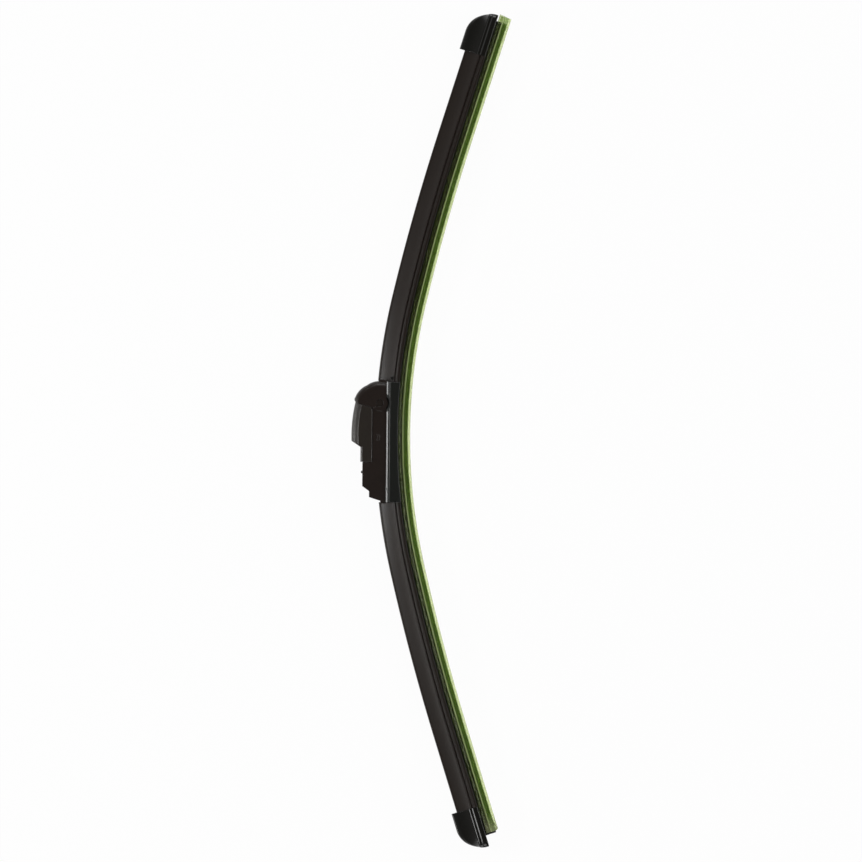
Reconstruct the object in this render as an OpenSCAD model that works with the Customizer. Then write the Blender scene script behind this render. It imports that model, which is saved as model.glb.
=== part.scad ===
// Frameless wiper blade for a hook arm, lying on its side as it does on a table.
// X points from the pivot to the wiping lip, Y runs along the blade and Z across it.
// The origin is on the axis of the pivot pin, midway between the connector's two sides.
// A profile is drawn with its height over the rails to the right and its width upwards.

/* [Beam] */
// Length of the bent beam from its crown to the tip of the upper end cap
upper_reach = 278.5; // [230:0.5:330]
// Length of the bent beam from its crown to the tip of the lower end cap
lower_reach = 272.5; // [230:0.5:330]
// Depth of the rails' mid-plane below the pivot axis, at the crown
rail_depth = 9.7; // [9.5:0.1:12]
// Distance along the blade from the pivot back to the crown
crown_offset = 19.3; // [14:0.1:24]
// Bending radius at the crown
crown_radius = 376.5; // [330:0.5:600]
// Bending radius of the two shoulders, which run out in straight ends
shoulder_radius = 1418; // [900:1:1600]

/* [Rails] */
// Width of one spring-steel rail
rail_w = 5; // [4.6:0.1:5.2]
// Thickness of a rail
rail_t = 1; // [0.8:0.05:1.2]
// Distance from the ends of the rails to the tips of the caps
rail_stop = 6; // [5:0.5:10]

/* [Wiping rubber] */
// Width of the head that lies on the rails
head_w = 4.4; // [3:0.1:4.8]
// Thickness of the head
head_t = 0.6; // [0.4:0.05:0.7]
// Width of the neck between the rails
neck_w = 1.8; // [1.4:0.1:2]
// Width of the shoulder under the rails
shoulder_w = 6.4; // [5.6:0.1:7]
// Depth of the shoulder's underside below the rails' mid-plane
shoulder_depth = 3.6; // [3:0.1:4]
// Width of the thin waist on which the lip tilts
waist_w = 1.1; // [0.8:0.05:1.6]
// Length of the waist
waist_h = 1.3; // [1:0.1:1.6]
// Width of the wedge at its top
wedge_w = 4.4; // [3.4:0.1:5]
// Width of the wiping edge
lip_w = 0.6; // [0.4:0.05:1]
// Depth of the wiping edge below the rails' mid-plane
lip_depth = 8; // [7:0.1:8.8]
// Distance from the upper end of the rubber to the upper cap's tip
upper_rubber_stop = 5.7; // [4:0.1:9]
// Distance from the lower end of the rubber to the lower cap's tip
lower_rubber_stop = 7.6; // [4:0.1:9]

/* [Spoiler] */
// Height of the spoiler's back over the rails' mid-plane
spoiler_h = 12.5; // [11:0.1:13.5]
// Thickness of the spoiler's back edge
spoiler_tip = 2.2; // [1.6:0.1:3]
// Width of the spoiler's foot
foot_w = 14.6; // [14.4:0.1:15]
// Height at which the flanks run out on the foot
foot_h = 3.3; // [3:0.1:3.8]
// Setback of the hooks behind the bead along the foot
foot_step = 0.3; // [0.2:0.05:0.4]
// Radius of the hollow flanks
flank_radius = 22; // [16:1:60]
// Depth of the hooks' underside below the rails' mid-plane
hook_depth = 1.3; // [1.1:0.05:1.5]
// Width of the gap between the two hooks
hook_gap = 8.4; // [7.6:0.1:9]
// Thickness of the flanks round the hollow core
flank_t = 1.5; // [1.2:0.1:2]

/* [End caps] */
// Length of an end cap
cap_l = 28.2; // [24:0.1:34]
// Height of a cap's back over the rails' mid-plane
cap_h = 15.8; // [15:0.1:18]
// Width of a cap at its foot
cap_w = 17.4; // [16.8:0.1:20]
// Width of a cap's back
cap_tip = 4.4; // [4.2:0.1:6]
// Depth of a cap's underside below the rails' mid-plane
cap_depth = 1.2; // [1:0.05:1.4]
// Radius of the back where it starts to fall to the tip
cap_back_radius = 15.4; // [12:0.1:18]
// Radius of the nose below it
cap_nose_radius = 22.4; // [19:0.1:26]
// Depth of the socket that takes the end of the spoiler
cap_socket = 9; // [6:0.5:12]

/* [Protective sleeve] */
// Wall of the sleeve
sleeve_t = 0.55; // [0.4:0.05:0.8]
// Depth of the sleeve's open edge below the rails' mid-plane
sleeve_open = 1.95; // [1.8:0.05:2.6]
// Depth of the sleeve's closed edge below the rails' mid-plane
sleeve_depth = 9.8; // [9.6:0.1:11]
// Depth of the bead that runs along each side
bead_depth = 4.45; // [4.3:0.05:4.8]
// Distance by which the sleeve passes the upper cap's tip
upper_sleeve_over = 0.5; // [-3:0.1:3]
// Distance by which the rubber passes the sleeve's lower end
lower_rubber_over = 1.3; // [0.5:0.1:4]

/* [Base] */
// Distance from the pivot to the front end of the base
base_front = 13.4; // [13:0.1:18]
// Distance from the pivot to the rear end of the base
base_rear = 63.4; // [63.4:0.1:75]
// Width of the base
base_w = 22; // [22:0.1:25]
// Depth of the rim below the pivot axis
rim_depth = 4.3; // [4.1:0.1:4.4]
// Width of the bevel along the rim
rim_bevel = 0.8; // [0.5:0.1:0.9]
// Thickness of the side walls at the rim
base_wall = 1; // [0.8:0.05:1.1]
// Thickness of the floor over the rails
floor_t = 1.25; // [1.1:0.05:1.35]
// Depth of the claws' underside below the rails' mid-plane
claw_depth = 1.7; // [1.4:0.05:1.8]
// Thickness of the two ears that carry the pin
ear_t = 1.5; // [1.2:0.1:1.6]
// Width of an ear over the pin
ear_w = 8.8; // [7.6:0.1:9]
// Radius of the notch in each rim, round the pivot
notch_radius = 6; // [5.8:0.1:6.5]

/* [Pivot] */
// Diameter of the pivot pin
pin_d = 4; // [3:0.1:4.4]
// Diameter of the hub that the arm's hook wraps round
hub_d = 7.4; // [7:0.1:8]
// Length of the pivot pin
pin_l = 19; // [17:0.1:19.4]

/* [Adapter] */
// Width of the channel for the arm's hook
channel_w = 9.4; // [9:0.1:9.6]
// Wall of the nose round the hook's room
nose_wall = 1.8; // [1.5:0.1:2]
// Thickness of the cheeks beside the hub
cheek_t = 1.5; // [1.3:0.1:1.6]
// Width of the adapter's nose, and of the cover
nose_w = 19.4; // [19.2:0.1:19.6]
// Width of the adapter beside the cover's skirts
panel_w = 18.6; // [18:0.1:19]
// Radius of the nose round the pivot
nose_radius = 14.1; // [13.8:0.1:14.4]
// Radius with which the nose is rounded off towards its sides
nose_round = 3.4; // [2.4:0.1:3.8]
// Distance by which the nose's upper round stands above the pivot
nose_rise = 2.8; // [2.4:0.1:3]
// Distance by which that round stands behind the pivot
nose_set = 1.5; // [1.2:0.1:1.8]
// Reach of the nose's side lips, which lap over the upper spoiler's end
nose_lap = 1.1; // [0.8:0.1:1.4]
// Distance from the mid-plane to the inside of the side lips
lip_inner = 7.2; // [7.2:0.1:7.4]
// Thickness of the side lips
lip_t = 1.3; // [1:0.1:1.5]
// Width of the oblong pip on each side panel, half its length
pip_w = 1.6; // [1.2:0.1:2]
// Height of the pips
pip_t = 0.3; // [0.2:0.05:0.4]
// Distance from the pivot back to the far end of the pips
pip_rear = 23.7; // [20:0.1:30]
// Reach of the tail's side lips, which lap over the lower spoiler's end
tail_lap = 1.2; // [0.8:0.1:1.4]
// Radius of the round boss on each side of the nose
boss_radius = 5.2; // [4.6:0.1:5.4]
// Height of the rear deck over the pivot axis
deck_h = 10.9; // [9.5:0.1:11.5]
// Distance from the pivot to the edge where the deck falls to the tail
deck_rear = 53.2; // [48:0.1:54]
// Height of the tail over the pivot axis
tail_h = 6.5; // [6:0.1:7.5]
// Distance from the pivot to the back of the tail
tail_rear = 63; // [60:0.1:63]
// Depth of the adapter's underside below the pivot axis
keel_depth = 4.4; // [4.3:0.05:4.5]
// Thickness of the plate that the arm lies on
shelf_t = 1.6; // [1.2:0.1:2.4]
// Width of the spring tongue cut in that plate
tongue_w = 5; // [3:0.1:6]
// Length of the spring tongue
tongue_l = 17; // [10:0.5:20]
// Height of the grip rib on the deck
grip_h = 0.9; // [0.5:0.1:1.4]

/* [Cover] */
// Height of the cover's crest over the pivot axis
dome_h = 18.1; // [17.6:0.1:20]
// Height of the cover's hinge over the pivot axis
hinge_h = 14.2; // [14:0.1:14.6]
// Distance of the cover's hinge ahead of the pivot
hinge_front = 2.2; // [1.8:0.1:2.6]
// Diameter of the hinge barrel
barrel_d = 4.2; // [3.8:0.1:4.6]
// Diameter of the hinge pin
hinge_pin_d = 1.6; // [1.2:0.1:2]
// Wall of the cover
cover_t = 1.5; // [1.2:0.1:1.5]
// Height of the skirts' lower edge over the pivot axis
skirt_h = 4.7; // [4.3:0.1:5.4]
// Distance from the pivot to the skirts' front edge, at its foot
skirt_front = 3.5; // [3:0.1:5]
// Distance from the pivot to the dome's rear edge
dome_rear = 24.4; // [20:0.1:26]
// Distance from the pivot to the rear end of the cover
cover_rear = 37.7; // [34:0.1:40]
// Height of the cover's rear deck over the pivot axis
lid_h = 12.2; // [11.8:0.1:13]
// Radius of the crest seen from the side
crest_radius = 93.5; // [80:0.5:110]
// Distance from the pivot back to the highest point of the crest
crest_top = 20.5; // [18:0.5:22]
// Height of the rounded band along each side of the dome
band_h = 4.2; // [3.6:0.1:4.6]
// Distance by which that band is set back behind the side
band_step = 0.3; // [0.2:0.05:0.4]
// Half width of the flat crest between the bands
crest_half = 5; // [4.6:0.1:5.6]
// Length of the slope from the dome's rear edge down to the rear deck
slope_l = 3.8; // [3:0.1:4.5]
// Radius of the rear deck's edges
deck_round = 1.6; // [1:0.1:2]
// Length of the hinge barrel
barrel_l = 13.8; // [12:0.1:14]
// Length of the hinge pin
hinge_pin_l = 16.2; // [15:0.1:16.4]

/* [Fits] */
// Radial clearance of a pin that turns in its bore
running_fit = 0.05; // [0.02:0.01:0.1]
// Clearance between faces that slide past each other
side_gap = 0.2; // [0.15:0.05:0.3]
// Clearance round a piece that is slipped on or clipped in
slip_fit = 0.1; // [0.05:0.01:0.15]
// Clearance between curved faces that pass each other
sweep_gap = 0.35; // [0.3:0.05:0.45]

/* [Hidden] */
$fn = 48;
// Unit of turn on the beam: its sine and cosine are short decimals, so that bent runs meet exactly
turn_unit = asin(0.07584);
// Steps in a unit of turn, and about as many as make a whole turn of them
unit_steps = 9;
bend_steps = ceil(360 * unit_steps / turn_unit);
// Units through which the crown turns on each side, and each shoulder after it
crown_units = 3;
shoulder_units = 1;
// Lengths from the crown to the end of its arc and to the end of the shoulder
crown_arc = crown_radius * crown_units * turn_unit * PI / 180;
shoulder_end = crown_arc + shoulder_radius * shoulder_units * turn_unit * PI / 180;
// Half widths of the connector's layers, from the middle outwards
channel_half = channel_w / 2;
cheek_half = channel_half + cheek_t;
ear_inner = cheek_half + side_gap;
ear_outer = ear_inner + ear_t;
slot_outer = ear_outer + side_gap;
nose_half = nose_w / 2;
panel_half = panel_w / 2;
base_half = base_w / 2;
trough_half = base_half - base_wall;
skirt_inner = nose_half - cover_t;
// Half width of the slot that holds both rails
rails_half = neck_w / 2 + slip_fit + rail_w + slip_fit;
// Height of the rails' upper faces, with their clearance
rail_top = rail_t / 2 + slip_fit;
head_top = rail_top + head_t;
floor_top = rail_top + floor_t;
// Place of the cover's hinge in the side view
hinge = [-hinge_h, hinge_front];
// Inner half width of the sleeve
sleeve_half = shoulder_w / 2 + slip_fit;
// Lengths to the ends of the pieces along the beam
upper_rubber_end = upper_reach - upper_rubber_stop;
lower_rubber_end = lower_reach - lower_rubber_stop;
// Extra length of a cutting tool past the face that it cuts
past = 1;
// Half width and length of the tools that cut the whole beam across
tool_half = cap_h + sleeve_depth + base_w;
tool_length = upper_reach + lower_reach;

// Turned towards the lip by a whole number of units
module turned(units)
    if (units > 0)
        rotate(-turn_unit)
            turned(units - 1)
                children();
    else
        children();

// Where the beam is after an arc, still seen as running upwards
module after_arc(radius, units)
    translate([radius, 0, 0])
        turned(units)
            translate([-radius, 0, 0])
                children();

module after_crown()
    after_arc(crown_radius, crown_units)
        children();

module after_shoulder()
    after_crown()
        after_arc(shoulder_radius, shoulder_units)
            children();

// Everything on the far side of a cut across the beam
module beyond(length)
    translate([-tool_half, length, -tool_half])
        cube([2 * tool_half, tool_length, 2 * tool_half]);

// A profile swept along an arc, between two lengths from its start
module arc_run(radius, units, from, to) {
    whole = radius * units * turn_unit * PI / 180;
    step_too_far = radius * turn_unit / unit_steps * PI / 180;
    reach = to < whole ? to : whole + step_too_far;
    if (to > from)
        difference() {
            translate([radius, 0, 0])
                mirror([1, 0, 0])
                    rotate_extrude(angle = reach / radius * 180 / PI, $fn = bend_steps)
                        translate([radius, 0])
                            children();
            // The run is swept a step too far, then cut square at its true end
            if (reach > whole)
                after_arc(radius, units)
                    beyond(0);
            if (from > 0)
                mirror([0, 1, 0])
                    beyond(-from);
        }
}

// A profile pushed straight on between two lengths
module straight_run(from, to)
    if (to > from)
        translate([0, to, 0])
            rotate([90, 0, 0])
                linear_extrude(to - from)
                    mirror([1, 0])
                        children();

// One half of the beam between two lengths from the crown
module half_run(from, to) {
    if (from < crown_arc)
        arc_run(crown_radius, crown_units, from, to)
            children();
    after_crown()
        if (from < shoulder_end && to > crown_arc)
            arc_run(shoulder_radius, shoulder_units, max(from - crown_arc, 0), to - crown_arc)
                children();
    after_shoulder()
        straight_run(max(from - shoulder_end, 0), to - shoulder_end)
            children();
}

// A profile swept along the beam between two lengths, negative below the crown
module sweep(from, to)
    translate([rail_depth, -crown_offset, 0]) {
        half_run(max(from, 0), to) children();
        mirror([0, 1, 0])
            half_run(max(-to, 0), -from) children();
    }

// A place on the upper straight end, with the height over the rails to the right
module at_end(length)
    translate([rail_depth, -crown_offset, 0])
        after_shoulder()
            translate([0, length - shoulder_end, 0])
                mirror([1, 0, 0])
                    children();

// The same piece turned over for the lower half of the beam
module on_lower_half()
    translate([0, -2 * crown_offset, 0])
        mirror([0, 1, 0])
            children();

// A closed outline from the points of its one half
function both_sides(half) =
    concat(half, [for (i = [len(half) - 1:-1:0]) [half[i][0], -half[i][1]]]);

// Points on an arc from one angle to another
function arc_points(centre, radius, from, to, steps = 12) =
    [for (i = [0:steps]) centre + radius * [cos(from + (to - from) * i / steps),
                                            sin(from + (to - from) * i / steps)]];

// Centre of the arc with a given radius that bulges into the chord from a to b
function hollow_centre(a, b, radius) =
    (a + b) / 2 + sqrt(pow(radius, 2) - pow(norm(b - a) / 2, 2))
        * [a[1] - b[1], b[0] - a[0]] / norm(b - a) * -1;

// A plate across the blade between two half widths, on the far and near sides
module plates(inner, outer)
    for (side = [inner, -outer])
        translate([0, 0, side])
            linear_extrude(outer - inner)
                children();

// A slab across the whole blade, centred on its mid-plane
module slab(half)
    translate([0, 0, -half])
        linear_extrude(2 * half)
            children();

// A box between two corners
module block(low, high)
    translate(low)
        cube(high - low);

module rubber_profile()
    polygon(both_sides([
        [head_top, head_w / 2],
        [rail_top, head_w / 2],
        [rail_top, neck_w / 2],
        [-rail_top, neck_w / 2],
        [-rail_top, shoulder_w / 2 - 0.4],
        [-rail_top - 0.4, shoulder_w / 2],
        [-shoulder_depth + 0.5, shoulder_w / 2],
        [-shoulder_depth, shoulder_w / 2 - 0.5],
        [-shoulder_depth, waist_w / 2],
        [-shoulder_depth - waist_h, waist_w / 2],
        [-shoulder_depth - waist_h, wedge_w / 2 - 0.3],
        [-shoulder_depth - waist_h - 0.4, wedge_w / 2],
        [-lip_depth, lip_w / 2]]));

module wiping_rubber()
    color([0.10, 0.10, 0.10])
        sweep(-lower_rubber_end, upper_rubber_end)
            rubber_profile();

module rail(side)
    color([0.50, 0.51, 0.53])
        sweep(-lower_reach + rail_stop, upper_reach - rail_stop)
            translate([0, side * (neck_w / 2 + slip_fit + rail_w / 2)])
                square([rail_t, rail_w], center = true);

module rail_near() rail(1);
module rail_far() rail(-1);

// The outside of the spoiler, grown all round by a clearance
module spoiler_outline(grow = 0) {
    tip = spoiler_tip / 2 + grow;
    shoulder = [spoiler_h - spoiler_tip / 2, tip];
    heel = [foot_h + grow, foot_w / 2 - 0.6 + grow];
    difference() {
        union() {
            polygon(both_sides([
                shoulder,
                heel,
                [foot_h - 0.3, foot_w / 2 - 0.4 + grow],
                [foot_h - 0.5, foot_w / 2 - 0.8 + grow],
                [foot_h - 0.9, foot_w / 2 - 0.8 + grow],
                [foot_h - 1.2, foot_w / 2 - 0.1 + grow],
                [foot_h - 2.2, foot_w / 2 + grow],
                [foot_h - 2.5, foot_w / 2 - foot_step + grow],
                [-hook_depth - grow, foot_w / 2 - foot_step - 0.1 + grow]]));
            translate([shoulder[0], 0])
                circle(tip);
        }
        for (side = [1, -1])
            mirror([0, side < 0 ? 1 : 0])
                translate(hollow_centre(shoulder, heel, flank_radius))
                    circle(flank_radius, $fn = 180);
    }
}

// The slot of the rails and the rubber, open downwards between the hooks
module rail_slot(depth) {
    translate([-rail_top, -rails_half])
        square([2 * rail_top, 2 * rails_half]);
    translate([0, -head_w / 2 - slip_fit])
        square([head_top + slip_fit, head_w + 2 * slip_fit]);
    translate([-depth - past, -hook_gap / 2])
        square([depth + past, hook_gap]);
}

module spoiler_profile()
    difference() {
        spoiler_outline();
        rail_slot(hook_depth);
        // Hollow core that lets the spoiler bend with the glass
        polygon(both_sides([
            [spoiler_h - 3.2 * flank_t, spoiler_tip / 2 - 0.4],
            [foot_h + flank_t / 2, foot_w / 2 - 2.2 * flank_t],
            [head_top + flank_t, foot_w / 2 - 2.2 * flank_t]]));
    }

module spoiler(reach, start)
    difference() {
        sweep(start / 2, reach - cap_l + cap_socket - slip_fit)
            spoiler_profile();
        block([-tool_half, -tool_half, -tool_half], [tool_half, start - crown_offset, tool_half]);
    }

module spoiler_upper()
    color([0.17, 0.16, 0.15])
        difference() {
            spoiler(upper_reach, base_front + slip_fit + crown_offset);
            // Hollow in which the adapter's nose turns
            cylinder(r = nose_radius + sweep_gap, h = 40, center = true, $fn = 96);
            // Small blind hole on each side, close to the base
            for (side = [1, -1])
                translate([rail_depth - 1.9, base_front + 2.6, side * foot_w / 2])
                    cylinder(d = 1.2, h = 1.6, center = true);
        }

module spoiler_lower()
    color([0.17, 0.16, 0.15])
        on_lower_half()
            spoiler(lower_reach, base_rear + slip_fit - crown_offset);

// The outside of a cap across the blade, with two steps along its foot
module cap_section() {
    shoulder = [cap_h - 1, cap_tip / 2];
    heel = [4.2, cap_w / 2 - 1.7];
    difference() {
        polygon(both_sides([
            [cap_h, cap_tip / 2 - 0.8],
            shoulder,
            heel,
            [heel[0], cap_w / 2 - 0.9],
            [heel[0] - 0.6, cap_w / 2 - 0.6],
            [2.6, cap_w / 2 - 0.6],
            [2.2, cap_w / 2],
            [0.2, cap_w / 2],
            [-cap_depth, cap_w / 2 - 0.6]]));
        for (side = [1, -1])
            mirror([0, side < 0 ? 1 : 0])
                translate(hollow_centre(shoulder, heel, 1.3 * flank_radius))
                    circle(1.3 * flank_radius, $fn = 180);
    }
}

// The side view of a cap: a straight back that falls to the tip in two arcs
module cap_side() {
    nose_turn = 50;
    tip_turn = 80;
    drop = [cos(tip_turn) - cos(nose_turn), sin(tip_turn) - sin(nose_turn)];
    nose_start = cap_l - cap_nose_radius * drop[1] - cap_back_radius * sin(nose_turn);
    back_centre = [cap_h - cap_back_radius, nose_start];
    nose_centre = back_centre - (cap_nose_radius - cap_back_radius) * [cos(nose_turn), sin(nose_turn)];
    polygon(concat(
        [[-cap_depth, 0], [cap_h, 0]],
        arc_points(back_centre, cap_back_radius, 0, nose_turn),
        arc_points(nose_centre, cap_nose_radius, nose_turn, tip_turn - 2),
        [[-cap_depth, cap_l]]));
}

// The plan of a cap: straight, then drawn in to a round tip
module cap_plan() {
    tip_radius = 0.34 * cap_w;
    union() {
        polygon([[0, -cap_w / 2], [0.35 * cap_l, -cap_w / 2],
                 [cap_l - tip_radius, -tip_radius], [cap_l - tip_radius, tip_radius],
                 [0.35 * cap_l, cap_w / 2], [0, cap_w / 2]]);
        translate([cap_l - tip_radius, 0])
            circle(tip_radius);
    }
}

module end_cap(reach)
    difference() {
        at_end(reach - cap_l)
            intersection() {
                rotate([-90, 0, 0])
                    linear_extrude(cap_l + past)
                        mirror([0, 1])
                            cap_section();
                slab(cap_w)
                    cap_side();
                rotate([0, 90, 0])
                    translate([0, 0, -cap_depth - past])
                        linear_extrude(cap_h + cap_depth + 2 * past)
                            rotate(90)
                                cap_plan();
            }
        sweep(reach - cap_l - past, reach - cap_l + cap_socket)
            spoiler_outline(slip_fit);
        sweep(reach - cap_l - past, reach - min(rail_stop, upper_rubber_stop) + slip_fit)
            rail_slot(cap_depth);
        sweep(reach - cap_l - past, reach + past)
            translate([-cap_depth - past, -hook_gap / 2])
                square([cap_depth + past - rail_top + slip_fit, hook_gap]);
    }

module end_cap_upper()
    color([0.08, 0.08, 0.08])
        end_cap(upper_reach);

module end_cap_lower()
    color([0.08, 0.08, 0.08])
        on_lower_half()
            end_cap(lower_reach);

module sleeve_profile() {
    outer = sleeve_half + sleeve_t;
    corner_r = 1.6;
    bead_r = 0.35;
    corner = [corner_r - sleeve_depth, outer - corner_r];
    skin = concat(
        [[-sleeve_open, outer]],
        arc_points([-bead_depth, outer], bead_r, 0, 180, 6),
        arc_points(corner, corner_r, 90, 180, 6));
    // The inner face bulges under the rubber's shoulder, which holds the sleeve on
    lining = [
        [-sleeve_open, sleeve_half],
        [-shoulder_depth - slip_fit, sleeve_half],
        [-shoulder_depth - slip_fit - 0.3, sleeve_half - 0.7],
        [-bead_depth - 0.3, sleeve_half - 0.7],
        [-bead_depth - 0.8, sleeve_half],
        [corner[0], sleeve_half],
        [sleeve_t - sleeve_depth, sleeve_half - corner_r]];
    polygon(concat(both_sides(skin), both_sides([for (p = lining) [p[0], -p[1]]])));
}

module protective_sleeve()
    color([0.55, 0.75, 0.20])
        sweep(-lower_rubber_end + lower_rubber_over, upper_reach + upper_sleeve_over)
            sleeve_profile();

// A profile swept along the whole connector and a little past both its ends
module along_base()
    sweep(crown_offset - base_rear - 2 * past, base_front + crown_offset + 3 * past)
        children();

module base()
    color([0.11, 0.11, 0.11])
        difference() {
            union() {
                difference() {
                    // Walls with a straight rim, cut off below along the bent rails
                    intersection() {
                        translate([0, base_front, 0])
                            rotate([90, 0, 0])
                                linear_extrude(base_rear + base_front)
                                    polygon(both_sides([
                                        [rim_depth, base_half - rim_bevel],
                                        [rim_depth + 0.9, base_half],
                                        [rim_depth + 1.9, base_half],
                                        [rim_depth + 2.1, base_half - 0.25],
                                        [rail_depth + 8, base_half - 1]]));
                        along_base()
                            translate([-claw_depth, -base_w])
                                square([rail_depth + claw_depth + 6, 2 * base_w]);
                    }
                    // Trough down to the bent floor
                    along_base()
                        translate([floor_top, -trough_half])
                            square([rail_depth + 6, 2 * trough_half]);
                }
                // Ears that stand on the floor and carry the pin
                plates(ear_inner, ear_outer) {
                    circle(d = ear_w);
                    translate([0, -ear_w / 2])
                        square([rail_depth - rail_top, ear_w]);
                }
            }
            along_base()
                rail_slot(claw_depth);
            cylinder(d = pin_d, h = pin_l, center = true);
            // Round notch in each rim and a narrow one near the rear
            plates(trough_half - past, base_half + past) {
                circle(notch_radius);
                translate([0, 8 - base_rear])
                    square([rim_depth + 0.7, 1]);
            }
        }

module pivot_pin()
    color([0.20, 0.20, 0.21])
        cylinder(d = pin_d, h = pin_l, center = true);

// A disc across the blade whose rim is rounded off towards the sides
module round_disc(at, radius, half, round)
    translate([at[0], at[1], 0])
        rotate_extrude($fn = 96)
            polygon(concat([[0, -half], [radius - round, -half]],
                           arc_points([radius - round, round - half], round, -80, 0, 6),
                           arc_points([radius - round, half - round], round, 0, 80, 6),
                           [[radius - round, half], [0, half]]));

// Side view of the nose: ahead of the cover, above the base's rim, with its boss and hinge eyes
module nose_area() {
    polygon([[-dome_h - past, hinge_front],
             [-hinge_h, hinge_front],
             [-hinge_h, hinge_front - barrel_d / 2],
             [side_gap - skirt_h, side_gap - skirt_front],
             [side_gap - skirt_h, -skirt_front - side_gap],
             [keel_depth, -skirt_front - side_gap],
             [keel_depth, nose_radius + past],
             [-dome_h - past, nose_radius + past]]);
    translate(hinge)
        circle(d = barrel_d);
    circle(boss_radius);
}

// The nose: a round about the pivot and a second one that rises to the hinge
module nose() {
    intersection() {
        union() {
            round_disc([0, 0], nose_radius, nose_half, nose_round);
            round_disc([-nose_rise, -nose_set], nose_radius - 0.1, nose_half, nose_round);
        }
        slab(nose_half)
            nose_area();
    }
    // Lips on both sides that lap over the end of the upper spoiler
    plates(lip_inner, lip_inner + lip_t)
        intersection() {
            circle(nose_radius + nose_lap, $fn = 96);
            polygon([[-1, 0], [keel_depth, 0], [keel_depth, nose_radius + 2 * nose_lap],
                     [-1, nose_radius + 2 * nose_lap]]);
        }
}

// Side view of one cheek behind the nose, up to a given height
module cheek_side(top)
    polygon([[-top, 0], [keel_depth, 0], [keel_depth, 1 - tail_rear], [keel_depth - 1, -tail_rear],
             [-1, 1 - tail_rear], [-tail_h + 0.5, 2.6 - tail_rear], [-tail_h, 3 - tail_rear],
             [-tail_h, 6.6 - tail_rear], [-tail_h - 0.5, 7 - tail_rear], [-top, -deck_rear]]);

module adapter()
    color([0.10, 0.10, 0.10])
        difference() {
            union() {
                difference() {
                    union() {
                        nose();
                        // Cheeks inside the cover, the panels below its skirts and the rear deck
                        intersection() {
                            slab(skirt_inner - side_gap)
                                cheek_side(lid_h - cover_t - side_gap);
                            block([-dome_h, -cover_rear - past, -nose_half], [keel_depth, 0, nose_half]);
                        }
                        intersection() {
                            slab(panel_half)
                                cheek_side(deck_h);
                            union() {
                                block([side_gap - skirt_h, -tail_rear, -nose_half],
                                      [keel_depth, 0, nose_half]);
                                block([-dome_h, -tail_rear, -nose_half],
                                      [keel_depth, -cover_rear - side_gap, nose_half]);
                            }
                        }
                        // Lips on both sides of the tail that lap over the end of the lower spoiler
                        plates(lip_inner, lip_inner + lip_t)
                            polygon([[0, -tail_rear + 2], [keel_depth, -tail_rear + 2],
                                     [keel_depth, -tail_rear - tail_lap], [1.2, -tail_rear - tail_lap]]);
                        // Oblong pip on each panel
                        plates(panel_half - past, panel_half + pip_t)
                            translate([-1.6, -pip_rear])
                                square([pip_w, 2 * pip_w]);
                        // Grip rib across the deck
                        translate([-deck_h, -cover_rear - 6.5, 0])
                            cylinder(r = grip_h, h = panel_w - 1, center = true, $fn = 24);
                    }
                    // Channel of the arm and the hollow in which its hook turns round the hub
                    slab(channel_half) {
                        circle(nose_radius - nose_wall, $fn = 96);
                        polygon([[-hinge_h + nose_wall, 0], [keel_depth + past, nose_radius - nose_wall - past],
                                 [keel_depth + past, -tail_rear - past],
                                 [-dome_h, -tail_rear - past], [-dome_h, 0]]);
                    }
                }
                cylinder(d = hub_d, h = channel_w, center = true);
                // Shelf for the arm, with a cross wall at the tail
                slab(channel_half) {
                    translate([-hub_d / 2 - slip_fit, -tail_rear + 2])
                        square([shelf_t, tail_rear - 2 - hub_d / 2 - 4]);
                    translate([-hub_d / 2 - slip_fit, -tail_rear + 2])
                        square([keel_depth - 1 + hub_d / 2, 1.6]);
                }
            }
            // Slots for the base's ears, open downwards
            plates(cheek_half, slot_outer) {
                circle(d = ear_w + 2 * sweep_gap);
                translate([0, -ear_w / 2 - 2])
                    square([boss_radius + past, ear_w + 4]);
            }
            // Bore of the hub and a wider hole in each side for the end of the pin
            cylinder(d = pin_d + 2 * running_fit, h = 2 * cheek_half + side_gap, center = true);
            cylinder(d = pin_d + 0.5, h = 2 * nose_w, center = true);
            // Seat of the cover's barrel and the blind bore of its pin
            hinge_seat();
            translate([hinge[0], hinge[1], 0])
                cylinder(d = hinge_pin_d, h = hinge_pin_l, center = true);
            tongue_slits();
        }

// Room for the barrel and for the roof that joins it
module hinge_seat()
    slab(barrel_l / 2 + side_gap) {
        translate(hinge)
            circle(r = barrel_d / 2 + sweep_gap);
        translate([-dome_h - past, -dome_rear])
            square([dome_h + past - hinge_h + barrel_d / 2 + sweep_gap, dome_rear + hinge_front]);
    }

// Slits that free a spring tongue in the shelf
module tongue_slits() {
    root = -tail_rear + 8;
    tip = root + tongue_l;
    top = -hub_d / 2 - slip_fit - past;
    for (side = [tongue_w / 2, -tongue_w / 2 - 0.6])
        block([top, root, side], [top + shelf_t + 2 * past, tip, side + 0.6]);
    block([top, tip, -tongue_w / 2 - 0.6], [top + shelf_t + 2 * past, tip + 0.8, tongue_w / 2 + 0.6]);
}

module cover_hinge_pin()
    color([0.15, 0.15, 0.15])
        translate([hinge[0], hinge[1], 0])
            cylinder(d = hinge_pin_d, h = hinge_pin_l, center = true);

// Section of the dome outwards from its far centre: rounded bands that step in to the sides
module dome_section(inset = 0) {
    round = nose_half - band_step - crest_half;
    polygon(both_sides(concat(
        [[crest_radius - inset, crest_half]],
        arc_points([crest_radius - round, crest_half], round - inset, 15, 60, 4),
        [[crest_radius - band_h, nose_half - band_step - inset],
         [crest_radius - band_h - 0.2, nose_half - inset],
         [crest_radius - dome_h, nose_half - inset]])));
}

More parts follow.
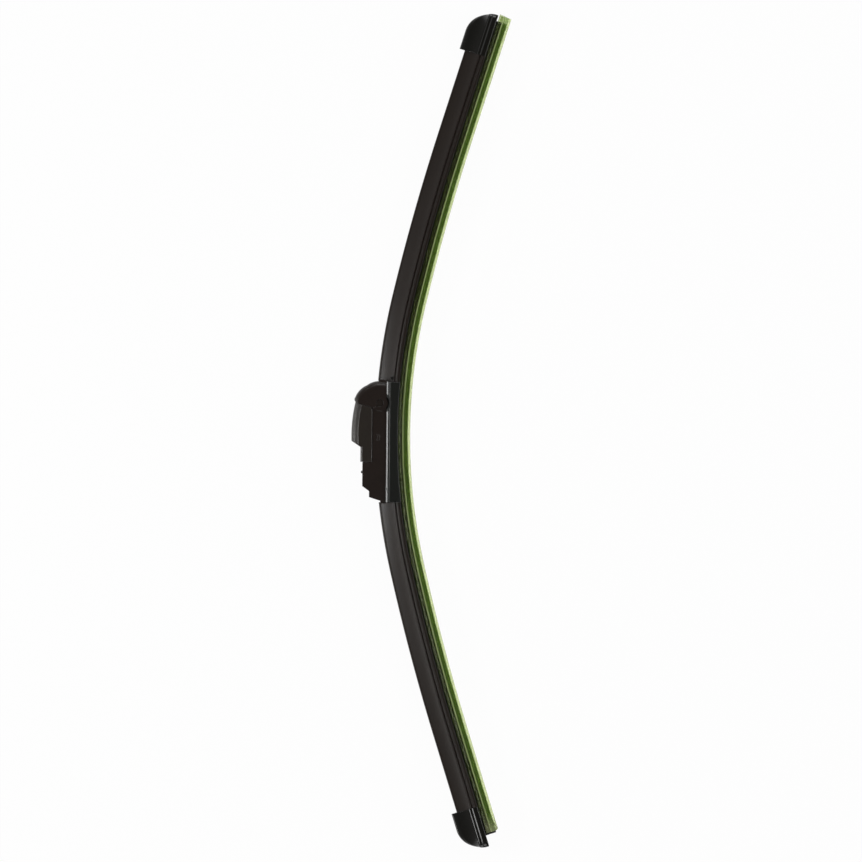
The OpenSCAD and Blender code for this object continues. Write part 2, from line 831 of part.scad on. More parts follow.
// A section swept along the crest of the dome, from past its rear to past the hinge
module along_crest()
    translate([crest_radius - dome_h, -crest_top, 0])
        rotate(163)
            rotate_extrude(angle = 30, $fn = 720)
                children();

// Side view of the dome, drawn in by a wall thickness for its hollow
module dome_area(inset = 0) {
    slope = slope_l / (dome_h - lid_h);
    polygon([[-hinge_h, hinge_front],
             [-dome_h - past, hinge_front - (dome_h + past - hinge_h)],
             [-dome_h - past, -dome_rear + 1.4 * inset + 0.4],
             [-dome_h + 0.2 + inset, -dome_rear + 1.4 * inset],
             [-lid_h + inset, -dome_rear - (dome_h - lid_h) * slope + 1.4 * inset],
             [-skirt_h + (inset > 0 ? past : 0), -dome_rear - (dome_h - lid_h) * slope + 1.4 * inset],
             [-skirt_h + (inset > 0 ? past : 0), -skirt_front],
             [-hinge_h, hinge_front - barrel_d / 2 - side_gap]]);
}

// The rear deck behind the dome, with rounded edges
module lid(inset, half, round, rear)
    translate([0, -dome_rear, 0])
        rotate([90, 0, 0])
            linear_extrude(rear - dome_rear)
                polygon(both_sides(concat(
                    arc_points([-lid_h + inset + round, half - round], round, 180, 90, 5),
                    [[-skirt_h + (inset > 0 ? past : 0), half]])));

// The cover's outside
module cover_skin() {
    intersection() {
        along_crest()
            dome_section();
        slab(nose_half)
            dome_area();
    }
    intersection() {
        lid(0, nose_half, deck_round, cover_rear);
        slab(nose_half)
            translate([-dome_h, -cover_rear - past])
                square([dome_h - skirt_h, cover_rear]);
    }
}

module cover()
    color([0.08, 0.08, 0.08])
        difference() {
            union() {
                difference() {
                    cover_skin();
                    intersection() {
                        along_crest()
                            dome_section(cover_t);
                        slab(skirt_inner)
                            dome_area(cover_t);
                    }
                    lid(cover_t, skirt_inner, 0.5, cover_rear + past);
                    // Room for the nose's hinge eyes
                    translate([hinge[0], hinge[1], 0])
                        cylinder(r = barrel_d / 2 + sweep_gap, h = 2 * nose_w, center = true);
                }
                // Roof that runs on to the hinge barrel
                intersection() {
                    along_crest()
                        dome_section();
                    slab(barrel_l / 2)
                        intersection() {
                            dome_area();
                            translate([-dome_h, hinge_front - barrel_d / 2 - 1.4])
                                square([dome_h - hinge_h + 0.6, barrel_d]);
                        }
                }
                translate([hinge[0], hinge[1], 0])
                    cylinder(d = barrel_d, h = barrel_l, center = true);
            }
            translate([hinge[0], hinge[1], 0])
                cylinder(d = hinge_pin_d + 2 * running_fit, h = 2 * barrel_l, center = true);
        }

wiping_rubber();
rail_near();
rail_far();
spoiler_upper();
spoiler_lower();
end_cap_upper();
end_cap_lower();
protective_sleeve();
base();
pivot_pin();
adapter();
cover_hinge_pin();
cover();
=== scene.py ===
import math

import bmesh
import bpy
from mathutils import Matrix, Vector


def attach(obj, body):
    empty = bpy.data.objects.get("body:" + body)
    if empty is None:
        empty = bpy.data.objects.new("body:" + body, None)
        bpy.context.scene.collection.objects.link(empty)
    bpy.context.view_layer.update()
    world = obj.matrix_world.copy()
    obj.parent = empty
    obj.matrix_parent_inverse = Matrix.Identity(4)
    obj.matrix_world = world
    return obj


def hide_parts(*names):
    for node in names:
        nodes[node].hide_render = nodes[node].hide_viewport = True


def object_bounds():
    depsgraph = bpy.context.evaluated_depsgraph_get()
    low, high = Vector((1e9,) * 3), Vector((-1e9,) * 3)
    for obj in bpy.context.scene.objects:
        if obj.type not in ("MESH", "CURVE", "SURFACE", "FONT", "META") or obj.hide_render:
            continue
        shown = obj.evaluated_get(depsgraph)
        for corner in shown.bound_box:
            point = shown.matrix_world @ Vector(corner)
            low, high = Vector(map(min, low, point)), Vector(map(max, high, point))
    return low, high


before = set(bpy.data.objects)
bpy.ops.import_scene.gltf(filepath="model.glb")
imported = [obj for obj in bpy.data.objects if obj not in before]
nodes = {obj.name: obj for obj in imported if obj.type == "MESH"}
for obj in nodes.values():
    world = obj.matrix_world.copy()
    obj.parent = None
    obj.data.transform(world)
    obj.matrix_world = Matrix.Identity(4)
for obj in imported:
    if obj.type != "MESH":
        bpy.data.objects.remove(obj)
cad_low, cad_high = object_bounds()

MM = 0.001


# ---- colours and shader nodes ----

def srgb(hex_colour):
    """The linear colour of an sRGB hex value."""
    parts = [int(hex_colour[i:i + 2], 16) / 255 for i in (1, 3, 5)]
    return [p / 12.92 if p <= 0.04045 else ((p + 0.055) / 1.055) ** 2.4 for p in parts] + [1.0]


def add_node(tree, kind, settings=None, links=None):
    """Adds one shader node; settings go by socket or property name, links by input socket."""
    made = tree.nodes.new(kind)
    for name, value in (settings or {}).items():
        if isinstance(name, str) and hasattr(made, name):
            setattr(made, name, value)
        else:
            made.inputs[name].default_value = value
    for name, source in (links or {}).items():
        tree.links.new(source, made.inputs[name])
    return made


def new_material(name, **surface):
    """A material with its Principled shader, whose sockets take constants."""
    material = bpy.data.materials.new(name)
    material.use_nodes = True
    tree = material.node_tree
    tree.nodes.clear()
    shader = add_node(tree, "ShaderNodeBsdfPrincipled", surface)
    add_node(tree, "ShaderNodeOutputMaterial", links={"Surface": shader.outputs["BSDF"]})
    return material, tree, shader


def object_place(tree):
    """Object coordinates in millimetres."""
    place = add_node(tree, "ShaderNodeTexCoord").outputs["Object"]
    scaled = add_node(tree, "ShaderNodeVectorMath", {"operation": "SCALE", "Scale": 1 / MM}, {0: place})
    return scaled.outputs[0]


# ---- materials ----

def soft_edges(tree, radius_mm, height, strength=0.05, depth_mm=0.2):
    """A normal with the small radius that a tool leaves on edges, and a fine bump over it."""
    edge = add_node(tree, "ShaderNodeBevel", {"samples": 6, "Radius": radius_mm * MM})
    bump = add_node(tree, "ShaderNodeBump", {"Strength": strength, "Distance": depth_mm * MM},
                    {"Height": height, "Normal": edge.outputs["Normal"]})
    return bump.outputs["Normal"]


def two_tones(tree, shader, tones, share):
    """Base colour that drifts between two close tones."""
    mix = add_node(tree, "ShaderNodeMix",
                   {"data_type": "RGBA", 6: srgb(tones[0]), 7: srgb(tones[1])}, {0: share})
    tree.links.new(mix.outputs[2], shader.inputs["Base Color"])


def moulded_abs(name, tones, roughness, edge_mm=0.35, shine=0.5, rubbed_mm=0.0):
    """ABS moulded in a steel tool: near-black, as glossy as the tool was, faintly wavy from shrinkage."""
    material, tree, shader = new_material(name, **{"IOR": 1.5, "Specular IOR Level": shine})
    place = object_place(tree)
    tone = add_node(tree, "ShaderNodeTexNoise", {"Scale": 1 / 9.0, "Detail": 2.0}, {"Vector": place})
    two_tones(tree, shader, tones, tone.outputs["Fac"])
    rub = add_node(tree, "ShaderNodeTexNoise", {"Scale": 1 / 1.6, "Detail": 5.0}, {"Vector": place})
    # Wiping with a cloth has left some places a little duller than others
    rough = add_node(tree, "ShaderNodeMapRange", {"To Min": roughness - 0.05, "To Max": roughness + 0.06},
                     {"Value": rub.outputs["Fac"]})
    if rubbed_mm:
        # The boss turns against the walls here, and has rubbed a round patch matt
        flat = add_node(tree, "ShaderNodeVectorMath", {"operation": "MULTIPLY", 1: (1, 1, 0)}, {0: place})
        away = add_node(tree, "ShaderNodeVectorMath", {"operation": "LENGTH"}, {0: flat.outputs[0]})
        rough = add_node(tree, "ShaderNodeMapRange",
                         {"From Min": rubbed_mm, "From Max": rubbed_mm + 0.3, "To Min": 0.9},
                         {"Value": away.outputs["Value"], "To Max": rough.outputs[0]})
    tree.links.new(rough.outputs[0], shader.inputs["Roughness"])
    wave = add_node(tree, "ShaderNodeTexNoise", {"Scale": 1 / 5.0, "Detail": 1.0}, {"Vector": place})
    tree.links.new(soft_edges(tree, edge_mm, wave.outputs["Fac"]), shader.inputs["Normal"])
    return material


def extruded_soft_rubber(name, tones, roughness):
    """Soft rubber pushed through a die: matt, a little dusty, with a bloom that lightens it in patches."""
    material, tree, shader = new_material(
        name, **{"Roughness": roughness, "IOR": 1.5, "Specular IOR Level": 0.36})
    place = object_place(tree)
    bloom = add_node(tree, "ShaderNodeTexNoise", {"Scale": 1 / 14.0, "Detail": 5.0}, {"Vector": place})
    two_tones(tree, shader, tones, bloom.outputs["Fac"])
    grain = add_node(tree, "ShaderNodeTexNoise", {"Scale": 1 / 0.5, "Detail": 2.0}, {"Vector": place})
    tree.links.new(soft_edges(tree, 0.25, grain.outputs["Fac"], 0.12, 0.05), shader.inputs["Normal"])
    return material


def worked_steel(name, tones, roughness):
    """Rolled strip or turned pin of steel: a plain metal sheen, clouded in fine grains by the tool."""
    material, tree, shader = new_material(name, **{"Metallic": 1.0, "Roughness": roughness})
    place = object_place(tree)
    grain = add_node(tree, "ShaderNodeTexNoise", {"Scale": 1 / 0.6, "Detail": 2.0}, {"Vector": place})
    two_tones(tree, shader, tones, grain.outputs["Fac"])
    return material


# Where along Y the guard starts to turn paler towards its lower end, where it is palest, and what share of
# pale diffuse it has there
PALING_START, PALING_FULL, PALING_SHARE = -263.0, -276.0, 0.55


def extruded_clear_pvc(name, clear, cloudy, haze):
    """Soft see-through PVC: a clear tinted wall, with a little lime haze that shows over the black rubber."""
    material, tree, shader = new_material(
        name, **{"Roughness": 0.12, "IOR": 1.45, "Transmission Weight": 1.0})
    place = object_place(tree)
    cloud = add_node(tree, "ShaderNodeTexNoise", {"Scale": 1 / 12.0, "Detail": 3.0}, {"Vector": place})
    two_tones(tree, shader, clear, cloud.outputs["Fac"])
    wave = add_node(tree, "ShaderNodeTexNoise", {"Scale": 1 / 4.0, "Detail": 1.0}, {"Vector": place})
    tree.links.new(soft_edges(tree, 0.2, wave.outputs["Fac"], 0.1, 0.15), shader.inputs["Normal"])
    milk = add_node(tree, "ShaderNodeBsdfDiffuse", {"Color": srgb(cloudy)})
    glow = add_node(tree, "ShaderNodeBsdfTranslucent", {"Color": srgb(cloudy)})
    cloudy_wall = add_node(tree, "ShaderNodeMixShader", {0: 0.5}, {1: milk.outputs[0], 2: glow.outputs[0]})
    wall = add_node(tree, "ShaderNodeMixShader", {0: haze}, {1: shader.outputs[0], 2: cloudy_wall.outputs[0]})
    # The lower end is mixed towards a pale diffuse, which lets less of the black rubber show
    down = add_node(tree, "ShaderNodeSeparateXYZ", links={0: place}).outputs["Y"]
    paling = add_node(tree, "ShaderNodeMapRange",
                     {"From Min": PALING_START, "From Max": PALING_FULL, "To Max": PALING_SHARE}, {"Value": down})
    pale_diffuse = add_node(tree, "ShaderNodeBsdfDiffuse", {"Color": srgb("#b4b890")})
    wall = add_node(tree, "ShaderNodeMixShader",
                    links={0: paling.outputs[0], 1: wall.outputs[0], 2: pale_diffuse.outputs[0]})
    tree.links.new(wall.outputs[0], tree.nodes["Material Output"].inputs["Surface"])
    return material


# The base: a polished tool gives a hard gloss that shows the softboxes sharply
gloss_abs = moulded_abs("gloss_abs_moulded", ("#151714", "#1a1c18"), 0.18, shine=0.9, rubbed_mm=7.0)
# The cover: an eroded tool, so it mirrors softly and its chamfers read as one even band
cover_abs = moulded_abs("fine_textured_abs_moulded", ("#231d18", "#29231c"), 0.34, edge_mm=0.5, shine=0.6)
# The adapter: a satin tool, so a brownish black with a broad, dull sheen
panel_abs = moulded_abs("satin_abs_moulded", ("#1f1713", "#271e19"), 0.3, edge_mm=0.5)
# The end caps: the finest edges and the hardest gloss, black with a thin bright line on each ledge
cap_abs = moulded_abs("cap_abs_moulded", ("#11100d", "#151410"), 0.15, edge_mm=0.15)
# The spoilers: soft TPE, silky on the flanks and a little brown
spoiler_rubber = extruded_soft_rubber("soft_tpe_extruded", ("#1a120c", "#211811"), 0.32)
# The wiping element: natural rubber, matt black
wiping_rubber = extruded_soft_rubber("natural_rubber_extruded", ("#0e0e0e", "#141413"), 0.6)
# The rails are bright strip; the pins are blackened and stay dark in their holes
rail_steel = worked_steel("spring_steel_rolled", ("#9a9ca0", "#b4b6b9"), 0.32)
pin_steel = worked_steel("blackened_steel_turned", ("#3e3733", "#4e4641"), 0.4)
# The guard: one lime PVC, hazy by how much of it the eye looks through: palest at the solid rib, whose pale
# haze is also a painted highlight for the light its bead catches
PVC_CLEAR = ("#e6edd0", "#e0e8c6")
sleeve_edge = extruded_clear_pvc("lime_pvc_open_edge", PVC_CLEAR, "#90a83c", 0.11)
sleeve_wall = extruded_clear_pvc("lime_pvc_wall", PVC_CLEAR, "#a0d050", 0.21)
sleeve_rib_haze_and_highlight = extruded_clear_pvc("lime_pvc_rib_haze_and_highlight", PVC_CLEAR, "#dcecaa", 0.8)
sleeve_fold = extruded_clear_pvc("lime_pvc_fold", ("#ecf6c4", "#e6f2b6"), "#d8f08c", 0.16)

FINISH = {
    "wiping_rubber": wiping_rubber,
    "rail_near": rail_steel,
    "rail_far": rail_steel,
    "spoiler_upper": spoiler_rubber,
    "spoiler_lower": spoiler_rubber,
    "end_cap_upper": cap_abs,
    "end_cap_lower": cap_abs,
    "protective_sleeve": sleeve_wall,
    "base": gloss_abs,
    "pivot_pin": pin_steel,
    "adapter": panel_abs,
    "cover_hinge_pin": pin_steel,
    "cover": cover_abs,
}
for name, material in FINISH.items():
    mesh = nodes[name].data
    mesh.materials.clear()
    mesh.materials.append(material)


# ---- the bent beam ----

# Side view, in mm: the rails' middle at the crown, then runs of a radius and a turn, then straight on
CROWN = (9.7, -19.3)
TURN = math.asin(0.07584)
RUNS = ((376.5, 3 * TURN), (1418.0, TURN))


def beam_point(along, depth, across):
    """Point at a distance along the rails from the crown, and at a depth above them towards the arm."""
    left, angle, x, y = abs(along), 0.0, 0.0, 0.0
    for radius, turn in RUNS:
        step = min(left / radius, turn)
        x += radius * (math.cos(angle) - math.cos(angle + step))
        y += radius * (math.sin(angle + step) - math.sin(angle))
        angle += step
        left -= step * radius
    x += left * math.sin(angle) - depth * math.cos(angle)
    y += left * math.cos(angle) + depth * math.sin(angle)
    return CROWN[0] + x, CROWN[1] + math.copysign(1, along) * y, across


def arc(centre, radius, first, last, steps):
    """Points on a circle between two angles in degrees."""
    turns = [math.radians(first + (last - first) * i / steps) for i in range(steps + 1)]
    return [(centre[0] + radius * math.cos(t), centre[1] + radius * math.sin(t)) for t in turns]


def hollow(start, end, radius, steps):
    """A curve from start to end that sags towards the middle of the section."""
    points = []
    chord = math.dist(start, end)
    sag = radius - math.sqrt(radius ** 2 - chord ** 2 / 4)
    out = ((end[1] - start[1]) / chord, -(end[0] - start[0]) / chord)
    for i in range(1, steps):
        t = i / steps
        dip = sag * 4 * t * (1 - t)
        points.append((start[0] + (end[0] - start[0]) * t - out[0] * dip,
                       start[1] + (end[1] - start[1]) * t - out[1] * dip))
    return [start] + points + [end]


def mirrored(side):
    """A whole closed section from the points of its one side, which runs from its middle to its middle."""
    other = [(depth, -across) for depth, across in reversed(side) if across > 1e-6]
    return side + other


def make_piece(name, points, faces, finishes, body, node=None, sharp=38, finish_of=None):
    """A mesh piece in mm that rides on a body, in place of a CAD node if one is named."""
    mesh = bpy.data.meshes.new(name)
    mesh.from_pydata([[c * MM for c in point] for point in points], [], faces)
    for finish in finishes:
        mesh.materials.append(finish)
    for number, polygon in enumerate(mesh.polygons):
        polygon.use_smooth = True
        polygon.material_index = finish_of(number) if finish_of else 0
    bm = bmesh.new()
    bm.from_mesh(mesh)
    bmesh.ops.recalc_face_normals(bm, faces=bm.faces)
    bm.to_mesh(mesh)
    bm.free()
    mesh.set_sharp_from_angle(angle=math.radians(sharp))
    piece = bpy.data.objects.new(name, mesh)
    bpy.context.scene.collection.objects.link(piece)
    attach(piece, body)
    if node:
        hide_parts(node)
    return piece


def skin_rings(rings):
    """Points and faces over a row of rings with the same number of points, closed at both ends."""
    count = len(rings[0])
    faces = []
    for i in range(len(rings) - 1):
        for j in range(count):
            k = (j + 1) % count
            faces.append((i * count + j, i * count + k, (i + 1) * count + k, (i + 1) * count + j))
    faces.append(tuple(range(count)))
    faces.append(tuple((len(rings) - 1) * count + j for j in range(count)))
    return [point for ring in rings for point in ring], faces


def stations(first, last, step):
    """Distances along the beam from first to last, about a step apart."""
    count = max(2, round(abs(last - first) / step))
    return [first + (last - first) * i / count for i in range(count + 1)]


# ---- guard over the wiping lip ----

# Section as depth and half width: a thin U, open towards the rails, with a solid rib and a fold at the lip
SLEEVE_INSIDE, SLEEVE_OUTSIDE = 3.3, 3.85
SLEEVE_OPEN, RIB_DEPTH, RIB_HALF, FOLD_START = -1.95, -5.05, 0.38, -8.2
SLEEVE_FOOT, SLEEVE_TOP = -263.6, 278.2
# The top end is cut a little short and aslant, and the corner of the lower end is rounded off
TOP_CUT, TOP_SLANT, FOOT_ROUND = 0.7, 0.12, 0.35

sleeve_skin = [(SLEEVE_OPEN, SLEEVE_OUTSIDE - 0.12), (-2.1, SLEEVE_OUTSIDE)]
sleeve_skin += [(RIB_DEPTH + RIB_HALF * math.cos(t), SLEEVE_OUTSIDE - 0.02 + 0.36 * math.sin(t))
                for t in [math.pi * i / 6 for i in range(7)]]
sleeve_skin += arc((FOLD_START, 2.25), 1.6, 90, 180, 8)
sleeve_lining = [(-9.25, 1.7), (FOLD_START, SLEEVE_INSIDE), (-5.7, SLEEVE_INSIDE), (-5.3, 2.7), (-4.7, 2.7),
                 (-4.1, SLEEVE_INSIDE), (SLEEVE_OPEN, SLEEVE_INSIDE)]
sleeve_outline = sleeve_skin + [(depth, -across) for depth, across in reversed(sleeve_skin)]
sleeve_loop = (sleeve_outline + [(depth, -across) for depth, across in reversed(sleeve_lining)]
               + sleeve_lining)
sleeve_rows = stations(SLEEVE_FOOT, SLEEVE_TOP, 3.0)


def sleeve_end_shift(row, depth):
    """How far an end of the sleeve is moved along the beam at a depth."""
    if row == sleeve_rows[-1]:
        return TOP_SLANT * (depth - SLEEVE_OPEN) - TOP_CUT
    if row == sleeve_rows[0]:
        return FOOT_ROUND * max(0.0, FOLD_START - depth) ** 2
    return 0.0


def sleeve_finish(number):
    """Which finish a face takes: 0 open edge, 1 wall, 2 rib with its painted highlight, 3 fold."""
    row, place = divmod(number, len(sleeve_loop))
    if row >= len(sleeve_rows) - 1:
        return 0
    middle = (sleeve_loop[place][0] + sleeve_loop[(place + 1) % len(sleeve_loop)][0]) / 2
    if RIB_DEPTH - 0.45 < middle < RIB_DEPTH + 0.45 and place < len(sleeve_outline):
        return 2
    if middle < FOLD_START - 0.3:
        return 3
    return 0 if middle > RIB_DEPTH + 0.35 else 1


points, faces = skin_rings([[beam_point(row + sleeve_end_shift(row, depth), depth, across)
                             for depth, across in sleeve_loop] for row in sleeve_rows])
make_piece("lip_guard", points, faces, [sleeve_edge, sleeve_wall, sleeve_rib_haze_and_highlight, sleeve_fold],
           "blade", "protective_sleeve", 50, sleeve_finish)


# ---- spoilers ----

# Section of one side: round crest, hollow flank, groove, bright ridge, foot, and the hook round the rail
spoiler_side = arc((11.4, 0.0), 1.1, 0, 78, 6)
spoiler_side += hollow((11.4, 1.1), (2.75, 6.7), 50.0, 10)
spoiler_side += [(2.5, 6.82), (2.35, 6.7), (2.2, 6.2), (2.05, 6.1), (1.9, 6.2),
                 (1.0, 7.1), (0.75, 7.26), (0.4, 7.28), (0.15, 7.04), (-1.1, 6.92), (-1.3, 6.7),
                 (-1.3, 4.2), (-0.62, 4.2), (-0.62, 6.0), (0.62, 6.0), (0.62, 3.4), (1.6, 2.9), (1.6, 0.0)]
spoiler_loop = mirrored(spoiler_side)


def spoiler(name, node, sign, first, last, start_at):
    """One spoiler, from the base to inside its cap; start_at gives the Y of its cut end for each X."""
    rings = []
    for number, row in enumerate(stations(first, last, 3.0)):
        ring = [beam_point(sign * row, depth, across) for depth, across in spoiler_loop]
        if number == 0:
            shifts = [sign * (start_at(x) - y) for x, y, _ in ring]
            ring = [beam_point(sign * (row + shift), depth, across)
                    for shift, (depth, across) in zip(shifts, spoiler_loop)]
        rings.append(ring)
    points, faces = skin_rings(rings)
    return make_piece(name, points, faces, [spoiler_rubber], "blade", node, 30)


# Where the spoilers meet the base's two ends, and the radius that clears the adapter's swinging nose
BASE_FRONT, BASE_REAR, NOSE_SWING = 13.5, -63.5, 14.45


def nose_round(x):
    """Where the upper spoiler starts: past the base, and past the nose's round where that reaches further."""
    return max(BASE_FRONT, math.sqrt(max(0.0, NOSE_SWING ** 2 - x ** 2)))


spoiler("spoiler_skin_upper", "spoiler_upper", 1, 33.0, 259.1, nose_round)
spoiler("spoiler_skin_lower", "spoiler_lower", -1, 44.6, 253.1, lambda x: BASE_REAR)


# ---- end caps ----

CAP_LENGTH, CAP_TOP, CAP_STEP, CAP_FOOT, CAP_HALF = 26.5, 16.0, 4.8, -1.2, 7.75
# The back falls to the tip in two arcs: their radii, and the turn in the first and in both
CAP_BACK, CAP_NOSE, BACK_TURN, TIP_TURN = 14.2, 20.5, math.radians(50), math.radians(80)
# Where the sides start to draw in, and by what share along the cap and at its very tip
CAP_TAPER, SIDE_DRAW, TIP_DRAW = 9.0, 0.1, 0.12
# How much of the section is left over the last of the tip's rounding, by distance from the end
TIP_EASE = {0.35: 0.99, 0.1: 0.97, 0.0: 0.94}

cap_side = arc((13.9, 0.0), 2.1, 0, 72, 7)
cap_side += hollow((13.9, 2.45), (4.75, 6.3), 28.6, 8)
cap_side += [(4.4, 6.35), (3.95, 6.77), (2.55, 6.9), (1.85, 7.55), (0.4, CAP_HALF), (-0.5, CAP_HALF),
             (-1.0, 7.55), (CAP_FOOT, 7.2), (CAP_FOOT, 0.0)]
cap_loop = mirrored(cap_side)
# The spoiler's outline with a little room, which the mouth is open to
mouth_side = arc((11.4, 0.0), 1.25, 0, 78, 4) + hollow((11.4, 1.25), (2.75, 6.85), 50.0, 8)
mouth_loop = mirrored(mouth_side + [(0.75, 7.45), (-0.9, 7.4), (-0.9, 0.0)])
MOUTH_MIDDLE = (4.0, 0.0)
# Sections from inside the mouth out over its lip: how far behind the lip, and how far in from the cap's
# outline, where None stands for the mouth's own outline
LIP_ROWS = ((4.5, None), (0.12, None), (0.0, 0.1), (0.1, 0.0))
# Sections of the shell from there on, set closer over the tip's rounding
SHELL_ROWS = stations(0.8, 23.0, 0.9) + stations(23.4, CAP_LENGTH - 0.7, 0.4)


def mouth_point(point):
    """Where a line from the mouth's middle through a point meets the mouth's outline."""
    dx, dy = point[0] - MOUTH_MIDDLE[0], point[1] - MOUTH_MIDDLE[1]
    for (ax, ay), (bx, by) in zip(mouth_loop, mouth_loop[1:] + mouth_loop[:1]):
        ex, ey = bx - ax, by - ay
        cross = dx * ey - dy * ex
        if abs(cross) < 1e-9:
            continue
        along = ((ax - MOUTH_MIDDLE[0]) * ey - (ay - MOUTH_MIDDLE[1]) * ex) / cross
        share = ((ax - MOUTH_MIDDLE[0]) * dy - (ay - MOUTH_MIDDLE[1]) * dx) / cross
        if along > 0 and -1e-9 <= share <= 1 + 1e-9:
            return MOUTH_MIDDLE[0] + dx * along, MOUTH_MIDDLE[1] + dy * along
    return point


def cap_height(u):
    """Height of the back over the rails at a distance from the mouth: straight, then two arcs."""
    first = CAP_BACK * math.sin(BACK_TURN)
    start = CAP_LENGTH - CAP_NOSE * (math.sin(TIP_TURN) - math.sin(BACK_TURN)) - first
    if u <= start:
        return CAP_TOP
    if u <= start + first:
        return CAP_TOP - CAP_BACK + math.sqrt(CAP_BACK ** 2 - (u - start) ** 2)
    depth = CAP_TOP - CAP_BACK - (CAP_NOSE - CAP_BACK) * math.cos(BACK_TURN)
    place = start - (CAP_NOSE - CAP_BACK) * math.sin(BACK_TURN)
    return depth + math.sqrt(max(0.0, CAP_NOSE ** 2 - (u - place) ** 2))


def cap_width(u):
    """Half width: straight, then drawn in a little, and more right at the tip."""
    t = max(0.0, (u - CAP_TAPER) / (CAP_LENGTH - CAP_TAPER))
    return CAP_HALF * (1 - SIDE_DRAW * t ** 2 - TIP_DRAW * t ** 16)


def end_cap(name, node, sign, reach, lead=0.0):
    """One cap: a mouth that closes on the spoiler, a lead further back, then sections down to the tip."""
    rings = []
    for u, inset in LIP_ROWS:
        ring = []
        for depth, across in cap_loop:
            if inset is None:
                depth, across = mouth_point((depth, across))
            else:
                depth -= inset * (1 if depth > MOUTH_MIDDLE[0] else -1 if depth < -1 else 0)
                across -= inset * (1 if across > 0 else -1 if across < 0 else 0)
            ring.append(beam_point(sign * (reach - CAP_LENGTH - lead + u), depth, across))
        rings.append(ring)
    tips = {CAP_LENGTH - left: share for left, share in TIP_EASE.items()}
    for u in SHELL_ROWS + list(tips):
        share = tips.get(u, 1.0)
        top = cap_height(u) - (1 - share) * 5
        width = cap_width(u) * share
        squeeze = max(0.02, (top - CAP_STEP) / (CAP_TOP - CAP_STEP))
        ring = []
        for depth, across in cap_loop:
            if depth > CAP_STEP:
                depth = CAP_STEP + (depth - CAP_STEP) * squeeze
            depth = max(min(depth, top - 0.02 * abs(across)), CAP_FOOT + (1 - share) * 4)
            ring.append(beam_point(sign * (reach - CAP_LENGTH + u), depth, across * width / CAP_HALF))
        rings.append(ring)
    points, faces = skin_rings(rings)
    return make_piece(name, points, faces, [cap_abs], "blade", node, 22)


end_cap("cap_shell_upper", "end_cap_upper", 1, 276.5, 1.3)
end_cap("cap_shell_lower", "end_cap_lower", -1, 272.0)


# ---- small forms ----

def both_sides(name, body, finish, rings, sharp=30):
    """Rings of x, y and height over the middle plane, skinned and closed, on both sides of a part."""
    points, faces = [], []
    for hand in (1, -1):
        side_points, side_faces = skin_rings([[(x, y, hand * height) for x, y, height in ring]
                                              for ring in rings])
        faces += [tuple(corner + len(points) for corner in face) for face in side_faces]
        points += side_points
    return make_piece(name, points, faces, [finish], body, sharp=sharp)


def line_bead(name, body, finish, path, face, radius):
    """A low half-round line moulded on both side faces of a part, along a path seen from the side."""
    rings = []
    for number, here in enumerate(path):
        before, after = path[max(0, number - 1)], path[min(len(path) - 1, number + 1)]
        length = math.dist(before, after)
        way = ((before[1] - after[1]) / length, (after[0] - before[0]) / length)
        rings.append([(here[0] + way[0] * out, here[1] + way[1] * out, face + up - radius / 4)
                      for out, up in arc((0.0, 0.0), radius, 0, 180, 6)])
    return both_sides(name, body, finish, rings, 50)


def lugs(name, body, finish, outline, inside, outside, eased=0.1):
    """The same flat lug on both sides, from its side outline, with its edges eased."""
    centre = (sum(x for x, _ in outline) / len(outline), sum(y for _, y in outline) / len(outline))
    rings = []
    for level, ease in ((inside, 0.0), (outside - eased, 0.0), (outside, eased)):
        shares = [ease / math.dist(point, centre) for point in outline]
        rings.append([(x - (x - centre[0]) * share, y - (y - centre[1]) * share, level)
                      for (x, y), share in zip(outline, shares)])
    return both_sides(name, body, finish, rings)


def round_eye(name, body, finish, place, radius, inside, outside):
    """A small round eye with a raised lip and a deep middle, the same on both sides."""
    profile = ((radius, inside), (radius, outside - 0.06), (radius - 0.08, outside), (radius - 0.22, outside),
               (radius - 0.3, outside - 0.08), (radius - 0.34, inside + 0.1))
    return both_sides(name, body, finish, [[(x, y, level) for x, y in arc(place, away, 0, 337.5, 15)]
                                           for away, level in profile])


SIDE_FACE, BEAD_RADIUS = 9.7, 0.26
# The cover's skirt ends in a fine bead, and a hooked line on the adapter leads on from its front corner
line_bead("skirt_bead", "cover", panel_abs,
          [(-5.0, -3.9 - step) for step in range(34)] + [(-5.0, -37.5)], SIDE_FACE, BEAD_RADIUS)
line_bead("hooked_line", "adapter", panel_abs,
          [(-1.9, -2.7), (-2.4, -2.58)] + arc((-3.0, -4.0), 1.45, 80, 138, 6), SIDE_FACE, BEAD_RADIUS)
# Webs under the hinge close the slit behind the nose, and catches fill the windows in the base's rim
lugs("hinge_webs", "adapter", panel_abs,
     [(-14.6, 0.6), (-14.4, -0.9), (-12.4, -1.5), (-10.2, -1.9), (-10.2, 0.6)], 7.15, 7.95)
lugs("rim_catches", "blade", gloss_abs, [(4.0, -56.2), (5.7, -56.2), (5.7, -53.4), (4.0, -53.4)], 9.4, 9.75)
# A small round recess just ahead of the base, finished in the darker matt rubber as painted shade for the
# dark spot there
round_eye("spoiler_eyes_painted_shade", "blade", wiping_rubber, (7.7, 16.0), 0.95, 5.6, 7.0)


# ---- floor, camera and light ----

FLOOR_Z, FLOOR_HALF = cad_low.z, 6.0
floor_mesh = bpy.data.meshes.new("studio_floor")
floor_mesh.from_pydata([(x * FLOOR_HALF, y * FLOOR_HALF, FLOOR_Z)
                        for x, y in ((-1, -1), (1, -1), (1, 1), (-1, 1))], [], [(0, 1, 2, 3)])
floor = bpy.data.objects.new("studio_floor", floor_mesh)
bpy.context.scene.collection.objects.link(floor)

